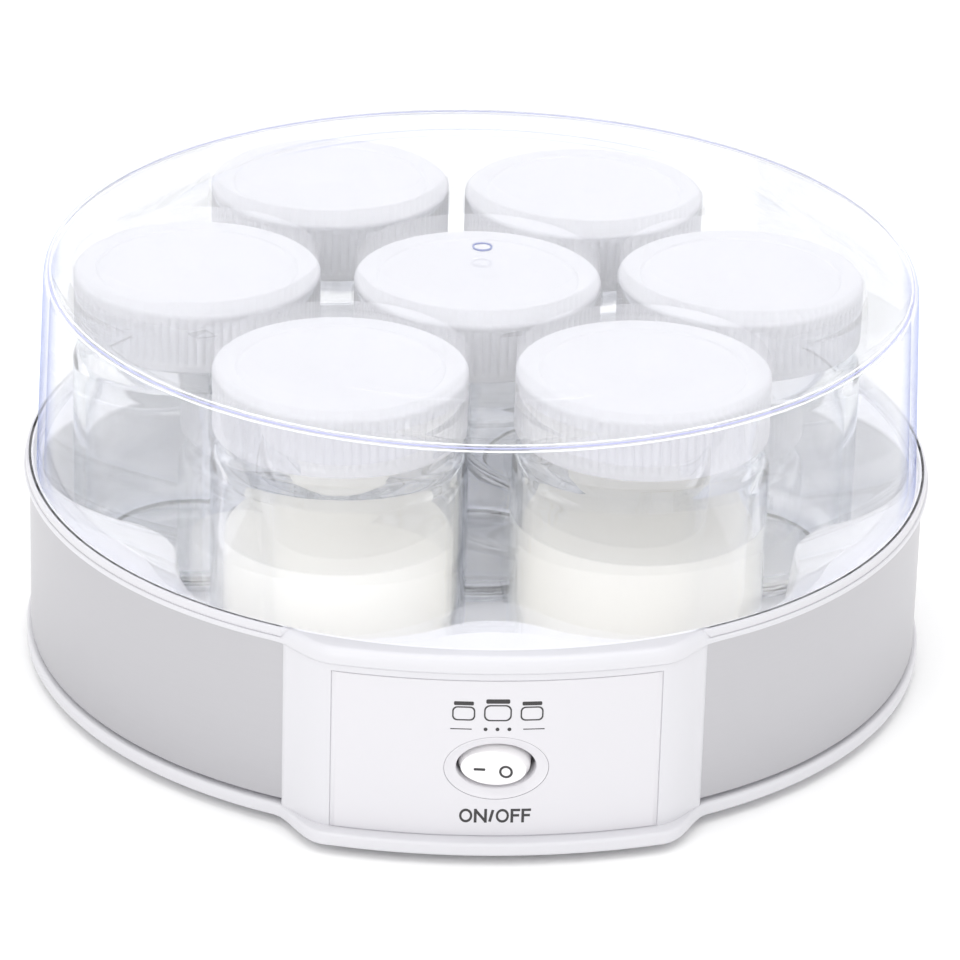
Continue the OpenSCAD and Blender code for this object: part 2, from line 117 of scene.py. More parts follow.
CORD_Z = (BUSH_LO.z + BUSH_HI.z) / 2
THROUGH_WALL = (100, 140)
SWITCH_Z = (SWITCH_LO.z + SWITCH_HI.z) / 2
PIVOT_Y = (PIN_LO.y + PIN_HI.y) / 2
FLANGE = ((SWITCH_HI.x - SWITCH_LO.x) / 2, (SWITCH_HI.z - SWITCH_LO.z) / 2)
WELL = (FLANGE[0] - 3.2, FLANGE[1] - 2.7)
ROCKER = (WELL[0] - 1, WELL[1] - 0.7)
ROCKER_TILT = math.radians(-7)

# ---- Mesh helpers ----

STEP_TURN = math.radians(15)
QUARTER_TURN = [STEP_TURN * i for i in range(7)]
SHARP_DEGREES = 32
FULL_TURN = 2 * math.pi


def arc(cx, cy, r, start, end, steps):
    """Points on an arc between two angles given in degrees."""
    turn = [math.radians(start + (end - start) * i / steps) for i in range(steps + 1)]
    return [(cx + r * math.cos(t), cy + r * math.sin(t)) for t in turn]


def softened(points):
    """Rounds the inner corners of a profile. Each point is (x, y) or (x, y, radius)."""
    out = []
    for i, p in enumerate(points):
        radius = p[2] if len(p) > 2 else 0
        if radius == 0 or i in (0, len(points) - 1):
            out.append((p[0], p[1]))
            continue
        here = Vector(p[:2])
        before = Vector(points[i - 1][:2]) - here
        after = Vector(points[i + 1][:2]) - here
        corner = before.angle(after)
        reach = min(radius / math.tan(corner / 2), before.length * 0.49, after.length * 0.49)
        radius = reach * math.tan(corner / 2)
        halfway = (before.normalized() + after.normalized()).normalized()
        middle = here + halfway * radius / math.sin(corner / 2)
        first = here + before.normalized() * reach - middle
        last = here + after.normalized() * reach - middle
        swing = first.angle_signed(last)
        steps = max(2, int(abs(swing) / STEP_TURN))
        for k in range(steps + 1):
            spoke = first.copy()
            spoke.rotate(Matrix.Rotation(-swing * k / steps, 2))
            out.append(tuple(middle + spoke))
    return out


def smooth(mesh, sharp_degrees=SHARP_DEGREES):
    """Shades a mesh smoothly, with sharp edges where it turns by more than an angle."""
    mesh.polygons.foreach_set("use_smooth", [True] * len(mesh.polygons))
    mesh.set_sharp_from_angle(angle=math.radians(sharp_degrees))


def finished(name, bm, sharp_degrees=SHARP_DEGREES):
    """Turns a bmesh in millimetres into a smooth-shaded object in metres."""
    same_point = 1e-5
    bmesh.ops.remove_doubles(bm, verts=bm.verts, dist=same_point)
    bmesh.ops.recalc_face_normals(bm, faces=bm.faces)
    bmesh.ops.scale(bm, vec=(MM, MM, MM), verts=bm.verts)
    mesh = bpy.data.meshes.new(name)
    bm.to_mesh(mesh)
    bm.free()
    smooth(mesh, sharp_degrees)
    piece = bpy.data.objects.new(name, mesh)
    bpy.context.scene.collection.objects.link(piece)
    return piece


def skin(bm, loops, closed=False):
    """Joins loops of points into a tube. A loop of one point closes it to a pole, and other ends stay open.

    With closed, the last loop is joined to the first.
    """
    rows = [[bm.verts.new(p) for p in loop] for loop in loops]
    pairs = list(zip(rows, rows[1:]))
    if closed:
        pairs.append((rows[-1], rows[0]))
    for lower, upper in pairs:
        n = max(len(lower), len(upper))
        for i in range(n):
            k = (i + 1) % n
            if len(lower) == 1:
                bm.faces.new((lower[0], upper[k], upper[i]))
            elif len(upper) == 1:
                bm.faces.new((lower[i], lower[k], upper[0]))
            else:
                bm.faces.new((lower[i], lower[k], upper[k], upper[i]))
    return rows


def capped(bm, loops):
    """Joins loops of points into a tube and closes both of its ends with a flat face."""
    rows = skin(bm, loops)
    bm.faces.new(rows[0])
    bm.faces.new(rows[-1])


def solid(name, loops, sharp_degrees=SHARP_DEGREES):
    """A piece whose walls run through loops of points, with a flat face at both ends."""
    bm = bmesh.new()
    capped(bm, loops)
    return finished(name, bm, sharp_degrees)


def sheet(name, loops, closed=False, sharp_degrees=SHARP_DEGREES):
    """A piece that is one skin through loops of points."""
    bm = bmesh.new()
    skin(bm, loops, closed)
    return finished(name, bm, sharp_degrees)


def turned_loops(profile, segments, centre=(0, 0), shape=None):
    """Loops of a turned body, or one point where it meets the axis. shape(a, r, z) may move the radius."""
    on_axis = 1e-6
    loops = []
    for r, z in profile:
        if r < on_axis:
            loops.append([(centre[0], centre[1], z)])
            continue
        loop = []
        for i in range(segments):
            a = FULL_TURN * i / segments
            reach = shape(a, r, z) if shape else r
            loop.append((centre[0] + reach * math.cos(a), centre[1] + reach * math.sin(a), z))
        loops.append(loop)
    return loops


def turned(name, profile, segments, centre=(0, 0), shape=None, closed=False, sharp_degrees=SHARP_DEGREES):
    """A turned piece. closed joins the profile's last point to its first."""
    return sheet(name, turned_loops(profile, segments, centre, shape), closed, sharp_degrees)


def oval_points(cx, cz, rx, rz, steps=48):
    """Points round an oval in a plane."""
    turns = [FULL_TURN * i / steps for i in range(steps)]
    return [(cx + rx * math.cos(a), cz + rz * math.sin(a)) for a in turns]


def bar(name, cz, half, steps, ends):
    """A level oval bar at x 0, between two values of y."""
    outline = oval_points(0, cz, *half, steps)
    return solid(name, [[(x, y, z) for x, z in outline] for y in ends])


def grown(half, by):
    """The half sizes of an oval that is larger all round by a distance."""
    return (half[0] + by, half[1] + by)


def cut(piece, cutter):
    """Takes the cutter's volume out of a piece."""
    step = piece.modifiers.new("cut", "BOOLEAN")
    step.operation = "DIFFERENCE"
    step.solver = "EXACT"
    step.object = cutter
    depsgraph = bpy.context.evaluated_depsgraph_get()
    made = bpy.data.meshes.new_from_object(piece.evaluated_get(depsgraph))
    piece.modifiers.clear()
    old, piece.data = piece.data, made
    bpy.data.meshes.remove(old)
    bpy.data.objects.remove(cutter)
    smooth(made)


# ---- Outlines of the casing and the bowl ----


def around(a, r, z):
    """The point at an angle from the front, at a distance from the axis and at a height."""
    return (r * math.sin(a), -r * math.cos(a), z)


def wrapped(a):
    """The same angle between minus and plus half a turn."""
    return (a + math.pi) % FULL_TURN - math.pi


def front_arc(a, front_r):
    """Distance of the panel's curved face from the axis. The face is front_r away straight ahead."""
    back = PANEL_CURVE_R - front_r
    return math.sqrt(PANEL_CURVE_R**2 - (back * math.sin(a)) ** 2) - back * math.cos(a)


def outline_r(a, round_r, front_r):
    """Distance of the casing's outline from the axis, at an angle from the front."""
    a = abs(a)
    if a >= FLARE_START:
        return round_r
    if a <= FLARE_END:
        return front_arc(a, front_r)
    t = (FLARE_START - a) / (FLARE_START - FLARE_END)
    return round_r + (front_arc(FLARE_END, front_r) - round_r) * t * t * (3 - 2 * t)


def front_angles():
    """Angles from the front all the way round, each half degree along the panel and each degree elsewhere."""
    side = 29
    fine = [math.radians(0.5 * i) for i in range(-2 * side, 2 * side + 1)]
    coarse = [math.radians(side + i) for i in range(1, 360 - 2 * side)]
    return fine + coarse


ROUND = front_angles()


def casing_loop(z, round_r, front_r=None):
    """One loop round the casing. Without front_r it is a circle."""
    if front_r is None:
        return [around(a, round_r, z) for a in ROUND]
    return [around(a, outline_r(wrapped(a), round_r, front_r), z) for a in ROUND]


def opening_r(a, grow):
    """Distance of the bowl's lobed edge from the axis at an angle a from a lobe's middle."""
    sector = math.radians(60)
    a = abs((a + sector / 2) % sector - sector / 2)
    lobe, cusp = LOBE_R + grow, CUSP_R - grow
    cx, cy = CUSP_C * math.cos(sector / 2), CUSP_C * math.sin(sector / 2)
    lean = math.atan2(cy, cx - JAR_RING_R)
    touch = math.atan2(lobe * math.sin(lean), JAR_RING_R + lobe * math.cos(lean))
    if a <= touch:
        return JAR_RING_R * math.cos(a) + math.sqrt(lobe**2 - (JAR_RING_R * math.sin(a)) ** 2)
    b = sector / 2 - a
    return CUSP_C * math.cos(b) - math.sqrt(cusp**2 - (CUSP_C * math.sin(b)) ** 2)


def bowl_loop(z, grow, limit=math.inf, share=1.0):
    """One loop along the bowl's lobed edge, no further out than limit. share shrinks it towards the axis."""
    return [around(a, min(opening_r(a - math.pi / 2, grow), limit) * share, z) for a in ROUND]


def face_y(x, depth=0.0):
    """Y of the panel's curved face at x, with depth measured into the panel."""
    return -(math.sqrt(PANEL_CURVE_R**2 - x * x) - (PANEL_CURVE_R - PANEL_FRONT_R)) + depth


# ---- Materials ----


def material(name, shader_inputs):
    """A Principled material and its nodes. shader_inputs are the values set on the shader's own sockets."""
    m = bpy.data.materials.new(name)
    m.use_nodes = True
    shader = m.node_tree.nodes["Principled BSDF"]
    for key, value in shader_inputs.items():
        shader.inputs[key].default_value = value
    return m, m.node_tree.nodes, m.node_tree.links, shader


def shaded(nodes, links, factor, low, high, target):
    """Drives a colour or number socket between two values by a factor."""
    if isinstance(low, tuple):
        mix = nodes.new("ShaderNodeMix")
        mix.data_type = "RGBA"
        mix.inputs["A"].default_value = (*low, 1)
        mix.inputs["B"].default_value = (*high, 1)
        links.new(factor, mix.inputs["Factor"])
        links.new(mix.outputs["Result"], target)
        return
    ramp = nodes.new("ShaderNodeMapRange")
    ramp.inputs["To Min"].default_value = low
    ramp.inputs["To Max"].default_value = high
    links.new(factor, ramp.inputs["Value"])
    links.new(ramp.outputs["Result"], target)


def noise(nodes, links, scale, detail=3.0, stretch=(1, 1, 1)):
    """Noise over the object's own coordinates. scale is in repeats a metre."""
    place = nodes.new("ShaderNodeTexCoord")
    stretch_by = nodes.new("ShaderNodeMapping")
    stretch_by.inputs["Scale"].default_value = stretch
    grain = nodes.new("ShaderNodeTexNoise")
    grain.inputs["Scale"].default_value = scale
    grain.inputs["Detail"].default_value = detail
    links.new(place.outputs["Object"], stretch_by.inputs["Vector"])
    links.new(stretch_by.outputs["Vector"], grain.inputs["Vector"])
    return grain.outputs["Fac"]


def bumped(nodes, links, height, shader, strength, distance):
    """Raises the surface by a height. distance is in metres."""
    bump = nodes.new("ShaderNodeBump")
    bump.inputs["Strength"].default_value = strength
    bump.inputs["Distance"].default_value = distance
    links.new(height, bump.inputs["Height"])
    links.new(bump.outputs["Normal"], shader.inputs["Normal"])


FINE_BUMP = 0.00002


def moulded_plastic(
    name, colour, shade, roughness=(0.28, 0.36), grain=2600, depth=FINE_BUMP, coat=0.0, painted_glow=0.0
):
    """A moulded plastic with a fine grain. Its emission is painted light that brightens the plastic where it
    lies in shade, though the plastic is no lamp.
    """
    m, nodes, links, shader = material(name, {
        "Coat Weight": coat, "Coat Roughness": 0.12, "IOR": 1.5,
        # painted light: an even emission that brightens the plastic in shade
        "Emission Color": (0.95, 0.96, 1.0, 1), "Emission Strength": painted_glow,
    })
    cloud = noise(nodes, links, 18)
    shaded(nodes, links, cloud, shade, colour, shader.inputs["Base Color"])
    fine = noise(nodes, links, grain, 2)
    shaded(nodes, links, fine, *roughness, shader.inputs["Roughness"])
    bumped(nodes, links, fine, shader, 0.25, depth)
    return m


def brushed_metal(name, colour, dark, roughness, scale, stretch=(1, 1, 1)):
    """Metal with fine scratches that run where stretch is small."""
    m, nodes, links, shader = material(name, {"Metallic": 1.0})
    streak = noise(nodes, links, scale, 8, stretch)
    shaded(nodes, links, streak, dark, colour, shader.inputs["Base Color"])
    shaded(nodes, links, streak, *roughness, shader.inputs["Roughness"])
    bumped(nodes, links, streak, shader, 0.2, FINE_BUMP)
    return m


def clear_material(name, tint, edge_tint_and_painted_shade, ior, straight, slant_from, wave):
    """Clear glass or plastic, tinted and darker where it is seen edge on: partly the longer path through the
    tinted material, partly painted shade that stands in for the darker things seen through its edges.

    straight is the share of light that passes without bending. The light of lamps all passes.
    slant_from says where the edge's tint and painted shade set in: 0 is seen straight on, and 1 is seen edge
    on.
    """
    m, nodes, links, shader = material(name, {"Transmission Weight": 1.0, "IOR": ior, "Roughness": 0.0})
    slant = nodes.new("ShaderNodeLayerWeight")
    slant.inputs["Blend"].default_value = 0.5
    outline = nodes.new("ShaderNodeMapRange")
    outline.inputs["From Min"].default_value = slant_from
    outline.inputs["From Max"].default_value = 0.95
    links.new(slant.outputs["Facing"], outline.inputs["Value"])
    # the edge's colour, on the bent light and on the light that passes straight, is tint and painted shade
    shaded(nodes, links, outline.outputs["Result"], tint, edge_tint_and_painted_shade, shader.inputs["Base Color"])
    ripple = noise(nodes, links, 60, 1)
    bumped(nodes, links, ripple, shader, 0.3, wave)
    ray = nodes.new("ShaderNodeLightPath")
    through = nodes.new("ShaderNodeBsdfTransparent")
    shaded(nodes, links, outline.outputs["Result"], tint, edge_tint_and_painted_shade, through.inputs["Color"])
    mix = nodes.new("ShaderNodeMixShader")
    share = nodes.new("ShaderNodeMath")
    share.operation = "MAXIMUM"
    share.inputs[1].default_value = straight
    links.new(ray.outputs["Is Shadow Ray"], share.inputs[0])
    links.new(share.outputs["Value"], mix.inputs["Fac"])
    links.new(shader.outputs["BSDF"], mix.inputs[1])
    links.new(through.outputs["BSDF"], mix.inputs[2])
    links.new(mix.outputs["Shader"], nodes["Material Output"].inputs["Surface"])
    return m


def set_milk(name, painted_glow):
    """Set milk. A faint emission paints light into it: it lifts the milk out of the shade under the lids, and
    stands in for light that wanders through it.
    """
    m, nodes, links, shader = material(name, {
        "IOR": 1.35, "Coat Weight": 0.15, "Coat Roughness": 0.2,
        "Emission Color": (1.0, 0.97, 0.90, 1), "Emission Strength": painted_glow,
    })
    cloud = noise(nodes, links, 35, 4)
    shaded(nodes, links, cloud, (0.92, 0.905, 0.86), (0.95, 0.935, 0.895), shader.inputs["Base Color"])
    shaded(nodes, links, cloud, 0.25, 0.4, shader.inputs["Roughness"])
    bumped(nodes, links, noise(nodes, links, 220, 3), shader, 0.15, 0.0001)
    return m


def soft_rubber(name, colour, shade):
    """Dull rubber or soft plastic with a coarse speckle."""
    m, nodes, links, shader = material(name, {"Specular IOR Level": 0.3})
    speck = noise(nodes, links, 900, 5)
    shaded(nodes, links, speck, shade, colour, shader.inputs["Base Color"])
    shaded(nodes, links, speck, 0.65, 0.85, shader.inputs["Roughness"])
    bumped(nodes, links, speck, shader, 0.4, 0.0001)
    return m


def printed_ink(name, colour, shade):
    """Dark satin ink."""
    m, nodes, links, shader = material(name, {"IOR": 1.45})
    speck = noise(nodes, links, 4000, 3)
    shaded(nodes, links, speck, shade, colour, shader.inputs["Base Color"])
    shaded(nodes, links, speck, 0.35, 0.5, shader.inputs["Roughness"])
    return m


PLASTICS = {
    # One white plastic in painted copies: the deck, seat, rim, casing and panel colours are painted darker
    # where the lamps fall strongest, and each emission is painted light that brightens shaded places, most in
    # the seat's groove.
    "white_plastic": {"colour": (0.945, 0.945, 0.975), "shade": (0.93, 0.93, 0.965), "painted_glow": 0.17},
    "deck_plastic_painted_shade_and_light": {"colour": (0.80, 0.795, 0.825), "shade": (0.785, 0.78, 0.81), "painted_glow": 0.16},
    "seat_plastic_painted_shade_and_light": {"colour": (0.625, 0.62, 0.65), "shade": (0.61, 0.605, 0.635), "painted_glow": 0.32},
    "panel_plastic_painted_shade": {"colour": (0.68, 0.675, 0.705), "shade": (0.665, 0.66, 0.69)},
    "label_film": {
        "colour": (0.69, 0.68, 0.71), "shade": (0.68, 0.67, 0.70), "roughness": (0.3, 0.36), "grain": 3500,
    },
    "switch_plastic": {
        "colour": (0.90, 0.89, 0.90), "shade": (0.86, 0.84, 0.85), "roughness": (0.12, 0.2), "grain": 2000,
        "coat": 0.4,
    },
    "bezel_plastic": {
        "colour": (0.71, 0.70, 0.73), "shade": (0.69, 0.68, 0.71), "roughness": (0.2, 0.28), "grain": 2000,
    },
    # The lids' white plastic, painted darker under the strong top lamp, with a faint painted emission.
    "lid_plastic": {
        "colour": (0.63, 0.625, 0.655), "shade": (0.62, 0.615, 0.645), "roughness": (0.38, 0.5),
        "grain": 2200, "depth": 0.00003, "painted_glow": 0.06,
    },
    "liner_foam": {
        "colour": (0.85, 0.85, 0.82), "shade": (0.8, 0.8, 0.77), "roughness": (0.7, 0.85), "grain": 1500,
        "depth": 0.0001,
    },
    "brown_phenolic": {
        "colour": (0.16, 0.07, 0.035), "shade": (0.10, 0.045, 0.02), "roughness": (0.35, 0.5), "grain": 900,
        "depth": 0.00005,
    },
    "bush_plastic": {
        "colour": (0.82, 0.82, 0.85), "shade": (0.76, 0.76, 0.79), "roughness": (0.4, 0.55), "grain": 1200,
        "depth": 0.00005,
    },
    # Colours of the painted lines in the clear cover: white highlights, a violet edge line and a blue line
    # round the nub.
    "rim_gleam": {
        "colour": (0.97, 0.97, 0.985), "shade": (0.95, 0.95, 0.97), "roughness": (0.1, 0.15), "grain": 2000,
    },
    "rim_painted_violet": {
        "colour": (0.55, 0.56, 0.86), "shade": (0.50, 0.51, 0.80), "roughness": (0.1, 0.15), "grain": 2000,
    },
    "nub_painted_blue": {
        "colour": (0.30, 0.33, 0.55), "shade": (0.26, 0.29, 0.50), "roughness": (0.1, 0.15), "grain": 2000,
    },
}
METALS = {
    "brushed_steel": {
        "colour": (0.52, 0.515, 0.535), "dark": (0.49, 0.485, 0.505), "roughness": (0.34, 0.42), "scale": 60,
        "stretch": (1, 1, 60),
    },
    "aluminium": {
        "colour": (0.80, 0.80, 0.82), "dark": (0.68, 0.68, 0.70), "roughness": (0.3, 0.5), "scale": 120,
        "stretch": (1, 12, 1),
    },
    "zinc": {"colour": (0.72, 0.72, 0.74), "dark": (0.55, 0.55, 0.57), "roughness": (0.2, 0.4), "scale": 300},
    "brass": {"colour": (0.78, 0.60, 0.28), "dark": (0.62, 0.46, 0.2), "roughness": (0.2, 0.4), "scale": 300},
    "element_steel": {
        "colour": (0.35, 0.34, 0.33), "dark": (0.2, 0.19, 0.18), "roughness": (0.4, 0.6), "scale": 150,
    },
}
CLEARS = {
    # Each clear's edge colour is partly tint and partly painted shade.
    "clear_plastic": {
        "tint": (0.99, 0.993, 1.0), "edge_tint_and_painted_shade": (0.54, 0.59, 0.82), "ior": 1.42, "straight": 0.7,
        "slant_from": 0.8, "wave": 0.00001,
    },
    "jar_glass": {
        "tint": (0.995, 0.997, 1.0), "edge_tint_and_painted_shade": (0.36, 0.43, 0.55), "ior": 1.46, "straight": 0.0,
        "slant_from": 0.5, "wave": FINE_BUMP,
    },
}

MATERIALS = {name: moulded_plastic(name, **look) for name, look in PLASTICS.items()}
MATERIALS.update({name: brushed_metal(name, **look) for name, look in METALS.items()})
MATERIALS.update({name: clear_material(name, **look) for name, look in CLEARS.items()})
MATERIALS.update({
    # The two fillings are a lit and a shaded copy of one milk: only their painted emissions differ.
    "yogurt": set_milk("yogurt", painted_glow=0.39),
    "yogurt_shaded": set_milk("yogurt_shaded", painted_glow=0.26),
    "foot_rubber": soft_rubber("foot_rubber", colour=(0.06, 0.06, 0.065), shade=(0.035, 0.035, 0.04)),
    "wire_pvc": soft_rubber("wire_pvc", colour=(0.5, 0.03, 0.02), shade=(0.35, 0.02, 0.015)),
    "print_ink": printed_ink("print_ink", colour=(0.03, 0.028, 0.03), shade=(0.05, 0.048, 0.05)),
})


def dress(piece, look):
    """Gives a piece one material in place of any it has."""
    piece.data.materials.clear()
    piece.data.materials.append(MATERIALS[look])


def fit(piece, body, look, slot, *nodes):
    """Gives a new piece its material and its body, and hides the CAD nodes that it stands for. slot is not
    used.
    """
    dress(piece, look)
    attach(piece, body)
    if nodes:
        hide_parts(*nodes)


# ---- Casing ----


def front_roll(count):
    """The rim's section over the panel: one soft roll, in as many points as the stepped section."""
    depth, low = 3.2, BEAD_Z + 0.5
    foot = [(0, BEAD_Z + 0.3), (-0.2, BEAD_Z), (-0.9, BEAD_Z)]
    steps = count - len(foot) - 1
    turns = [math.radians(90 * i / steps) for i in range(steps + 1)]
    return [(-depth + depth * math.sin(t), low + (RIM_Z - low) * math.cos(t)) for t in turns] + foot


def band_loop(step, roll):
    """One loop round the rim: its stepped section over the steel, and the soft roll over the panel."""
    blend_start, blend_end = math.radians(25.6), math.radians(26.5)
    loop = []
    for a in ROUND:
        share = min(max((abs(wrapped(a)) - blend_start) / (blend_end - blend_start), 0.0), 1.0)
        d = roll[0] + (step[0] - roll[0]) * share
        z = roll[1] + (step[1] - roll[1]) * share
        loop.append(around(a, outline_r(wrapped(a), CASING_R + d, RIM_FRONT_R + d), z))
    return loop


def make_tray():
    """The white upper moulding in five skins: the bowl's two sides, the deck, the cover's seat and the rim.
    The skins carry painted light and shade: each gets its own tone and emission of the one white plastic.

    The screw posts go with the bowl's inside.
    """
    edge, corner = 1.0, 4.0
    limit = RIM_IN_R - 1.3
    foot_grow = -BOWL_DRAFT
    wall_foot, wall_top = FLOOR_Z + corner, DECK_Z - edge
    bowl_inside = [[(0, 0, FLOOR_Z)]]
    for share in (0.25, 0.5, 0.75):
        bowl_inside.append(bowl_loop(FLOOR_Z, foot_grow - corner, share=share))
    for t in QUARTER_TURN:
        z = FLOOR_Z + corner * (1 - math.cos(t))
        bowl_inside.append(bowl_loop(z, foot_grow - corner + corner * math.sin(t)))
    steps = 6
    for i in range(1, steps + 1):
        t = i / steps
        bowl_inside.append(bowl_loop(wall_foot + (wall_top - wall_foot) * t, foot_grow * (1 - t), limit))

    deck = [bowl_inside[-1]]
    for t in QUARTER_TURN[1:]:
        deck.append(bowl_loop(wall_top + edge * math.sin(t), edge * (1 - math.cos(t)), limit))
    deck.append(bowl_loop(DECK_Z, edge + 0.25, limit + 0.05))
    groove = softened([
        (limit + 0.1, DECK_Z), (limit + 0.3, DECK_Z, 0.2), (limit + 0.45, SEAT_Z, 0.25),
        (RIM_IN_R, SEAT_Z, 0.25), (RIM_IN_R + 0.1, RIM_Z, 0.9), (RIM_IN_R + 1.6, RIM_Z),
    ])
    seat = [deck[-1]] + [casing_loop(z, r) for r, z in groove]

    bead_top = BEAD_Z + BEAD_H
    band = softened([
        (-2.0, RIM_Z), (-0.5, RIM_Z, 0.9), (-0.5, bead_top, 0.15), (-0.8, bead_top, 0.1),
        (-0.75, bead_top - 0.15, 0.1), (0, bead_top - 0.2, 0.5), (0, BEAD_Z, 0.5), (-0.9, BEAD_Z),
    ])
    outer = SHELL_R[0] - 0.2
    under = DECK_Z - DECK_T
    rim = [seat[-1]] + [band_loop(step, roll) for step, roll in zip(band, front_roll(len(band)))]
    rim += [casing_loop(BEAD_Z, outer), casing_loop(under, outer)]

    foot = FLOOR_Z - FLOOR_T
    bowl_outside = [rim[-1]]
    for t in (0, 0.5, 1):
        z = under + (foot - under) * t
        bowl_outside.append(bowl_loop(z, BOWL_WALL - BOWL_DRAFT * t, outer - 0.05))
    bowl_outside += [bowl_loop(foot, BOWL_WALL - BOWL_DRAFT, share=0.4), [(0, 0, foot)]]

    others = [
        sheet("bowl_outside", bowl_outside), sheet("deck_skin", deck),
        sheet("seat_skin", seat), sheet("rim_skin", rim),
    ]
    bm = bmesh.new()
    skin(bm, bowl_inside)
    hollow_post = [(POST_HOLE_R, POST_FOOT_Z), (POST_R, POST_FOOT_Z), (POST_R, under), (POST_HOLE_R, under)]
    for degrees in (30, 150, 210, 330):
        a = math.radians(degrees)
        spot = (POST_RING_R * math.cos(a), POST_RING_R * math.sin(a))
        skin(bm, turned_loops(hollow_post, 32, spot), closed=True)
    return [finished("bowl_inside", bm)] + others


def make_shell():
    """The lower casing: foot lip, shadow groove and the wall behind the steel band."""
    lip_z = SHELL_LO.z
    shelf = lip_z + 3.7
    groove_r, step_r, ledge_r = 118.4, 116.5, 111.5
    groove_top, step_top, ledge_low = shelf + 1.4, shelf + 2.8, shelf - 1.2
    lip = softened([(-4, lip_z), (0, lip_z, 0.9), (0, shelf, 0.9), (-2.4, shelf)])
    inside = [
        (groove_r, shelf), (groove_r, groove_top), (SHELL_R[1], groove_top), (SHELL_R[1], SHELL_HI.z),
        (SHELL_R[0], SHELL_HI.z), (SHELL_R[0], step_top), (step_r, step_top), (step_r, shelf),
        (ledge_r, shelf), (ledge_r, ledge_low), (LIP_IN_R, ledge_low),
    ]
    loops = [casing_loop(lip_z + 0.4, LIP_IN_R), casing_loop(lip_z, LIP_IN_R + 0.4)]
    loops += [casing_loop(z, LIP_R + d, FOOT_FRONT_R + d) for d, z in lip]
    loops += [casing_loop(z, r) for r, z in inside]
    shell = sheet("lower_casing", loops, closed=True)
    cut(shell, switch_gap_cutter())
    cut(shell, cord_cutter())
    return shell


def switch_gap_cutter():
    """A block where the switch goes through the casing's wall."""
    half_width, half_height = 14, 10
    near, far = THROUGH_WALL
    corners = [(-half_width, -far), (half_width, -far), (half_width, -near), (-half_width, -near)]
    levels = (SWITCH_Z - half_height, SWITCH_Z + half_height)
    return solid("switch_gap", [[(x, y, z) for x, y in corners] for z in levels])


def cord_cutter():
    """A round bar where the cord's inlet goes through the casing's wall."""
    return bar("cord_cutter", CORD_Z, (6.5, 6.5), 40, THROUGH_WALL)


def make_steel():
    """The brushed band: a thin strip that runs round the back from one side of the panel to the other."""
    inner, outer = STEEL_R
    low, high = STEEL_LO.z, STEEL_HI.z
    section = softened([(inner, low), (outer, low, 0.2), (outer, high, 0.2), (inner, high)])
    steps = 300
    turns = [STEEL_END + (FULL_TURN - 2 * STEEL_END) * i / steps for i in range(steps + 1)]
    band = solid("brushed_band", [[around(a, r, z) for r, z in section] for a in turns])
    cut(band, cord_cutter())
    return band


def make_panel():
    """The front moulding: a flared shell with a shallow recess for the label plate."""
    low, high = PANEL_LO.z, PANEL_HI.z
    recess_low, recess_high = LABEL_LO.z - LABEL_GAP, LABEL_HI.z + LABEL_GAP
    recess_end = LABEL_END + math.radians(0.12)
    hair, hair_turn = 0.02, math.radians(0.02)
    steps = 70
    angles = [PANEL_END * i / steps for i in range(-steps, steps + 1)]
    angles += [side * (recess_end + turn) for side in (-1, 1) for turn in (-hair_turn, hair_turn)]
    angles.sort()
    levels = softened([(1.0, low), (0, low, 0.35), (0, high, 0.5), (1.0, high)])
    heights = [(inset, z) for inset, z in levels if z < recess_low]
    heights += [(0, z + step) for z in (recess_low, recess_high) for step in (-hair, hair)]
    heights += [(inset, z) for inset, z in levels if z > recess_high]
    round_r, end_round = CASING_R - 0.5, 0.5
    loops = []
    for inset, z in heights:
        sunk = recess_low < z < recess_high
        loop = []
        for a in angles:
            depth = FILM_T if sunk and abs(a) < recess_end else 0
            near_end = max(0.0, end_round - (PANEL_END - abs(a)) * CASING_R)
            edge = end_round - math.sqrt(max(end_round**2 - near_end**2, 0))
            loop.append(around(a, outline_r(a, round_r, PANEL_FRONT_R) - inset - depth - edge, z))
        for a in reversed(angles):
            back_r = outline_r(a, round_r - PANEL_T, PANEL_FRONT_R - PANEL_T)
            loop.append(around(a, max(back_r, STEEL_R[0]), z))
        loops.append(loop)
    panel = solid("front_moulding", loops)
    cut(panel, oval_cutter(grown(FLANGE, -0.6)))
    return panel


def make_label():
    """The thin film plate on the panel's face."""
    steps = 60
    angles = [LABEL_END * i / steps for i in range(-steps, steps + 1)]
    soft, round_r = 0.12, CASING_R - 1.5
    low, high = LABEL_LO.z, LABEL_HI.z
    loops = []
    for inset, z in ((soft, low), (0, low + soft), (0, high - soft), (soft, high)):
        loop = []
        for a in angles:
            edge = soft if abs(a) == LABEL_END else 0
            loop.append(around(a, outline_r(a, round_r, PANEL_FRONT_R) - max(inset, edge), z))
        for a in reversed(angles):
            loop.append(around(a, outline_r(a, round_r - FILM_T, PANEL_FRONT_R - FILM_T + 0.02), z))
        loops.append(loop)
    label = solid("face_film", loops)
    cut(label, oval_cutter(grown(FLANGE, 0.05)))
    return label


def oval_cutter(half):
    """An oval bar where the switch goes through the panel."""
    return bar("oval_cutter", SWITCH_Z, half, 120, [-y for y in THROUGH_WALL])


# ---- Switch ----


def oval_loop(half, depth, follow=1.0):
    """An oval loop round the switch, at a depth behind the panel's face. follow bends it with the face."""
    loop = []
    for x, z in oval_points(0, SWITCH_Z, *half, 120):
        loop.append((x, follow * face_y(x) + (1 - follow) * -PANEL_FRONT_R + depth, z))
    return loop


